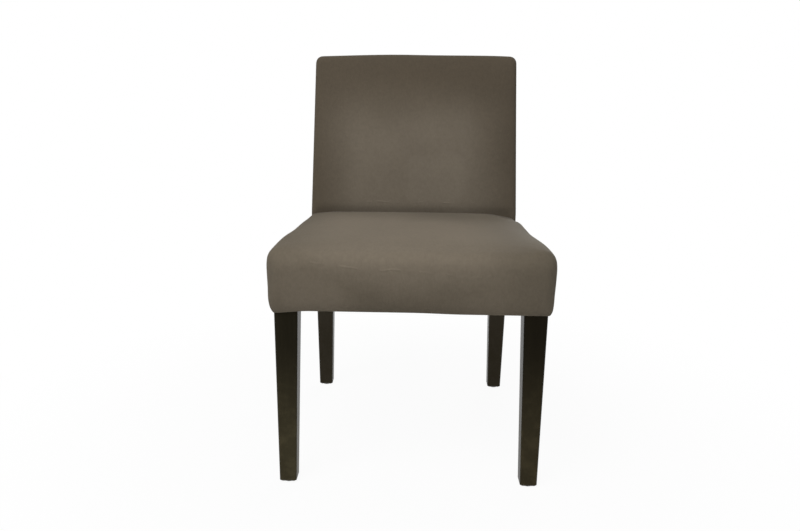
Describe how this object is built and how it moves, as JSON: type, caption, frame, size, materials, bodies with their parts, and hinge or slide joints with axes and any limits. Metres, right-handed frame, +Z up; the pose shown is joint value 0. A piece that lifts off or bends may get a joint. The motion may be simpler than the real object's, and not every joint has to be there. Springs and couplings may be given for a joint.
{
  "type": "parsons chair",
  "caption": "Armless upholstered dining chair with a low raked back, a crowned box seat, plain suede covers and dark square tapered wooden legs.",
  "frame": {"origin": "on the floor under the middle of the chair's overall box", "axes": "+Z up, -Y the way a sitter faces, +X to the right in a front view"},
  "size_m": [0.529, 0.564, 0.8301],
  "materials": {
    "lacquered_wood": "satin",
    "bare_wood": "matte",
    "suede": "matte",
    "foam": "matte",
    "webbing": "matte",
    "lining": "matte",
    "screws": "satin",
    "glides": "satin"
  },
  "bodies": {
    "root": {"front_leg_left": "lacquered_wood", "front_leg_right": "lacquered_wood", "rear_post_left": "lacquered_wood", "rear_post_right": "lacquered_wood", "side_rail_left": "bare_wood", "side_rail_right": "bare_wood", "front_rail": "bare_wood", "rear_rail": "bare_wood", "front_corner_block_left": "bare_wood", "front_corner_block_right": "bare_wood", "front_corner_screw_a_left": "screws", "front_corner_screw_a_right": "screws", "front_corner_screw_b_left": "screws", "front_corner_screw_b_right": "screws", "rear_corner_block_left": "bare_wood", "rear_corner_block_right": "bare_wood", "rear_corner_screw_a_left": "screws", "rear_corner_screw_a_right": "screws", "rear_corner_screw_b_left": "screws", "rear_corner_screw_b_right": "screws", "seat_web_long_1": "webbing", "seat_web_long_2": "webbing", "seat_web_long_3": "webbing", "seat_web_long_4": "webbing", "seat_web_cross_1": "webbing", "seat_web_cross_2": "webbing", "seat_web_cross_3": "webbing", "seat_web_cross_4": "webbing", "back_top_rail": "bare_wood", "back_lower_rail": "bare_wood", "back_web_cross_1": "webbing", "back_web_cross_2": "webbing", "back_web_cross_3": "webbing", "back_web_upright_1": "webbing", "back_web_upright_2": "webbing", "seat_foam": "foam", "seat_cover": "suede", "back_foam": "foam", "back_cover": "suede", "outside_back_panel": "suede", "dust_cover": "lining", "front_glide_left": "glides", "front_glide_right": "glides", "rear_glide_left": "glides", "rear_glide_right": "glides"}
  },
  "joints": []
}
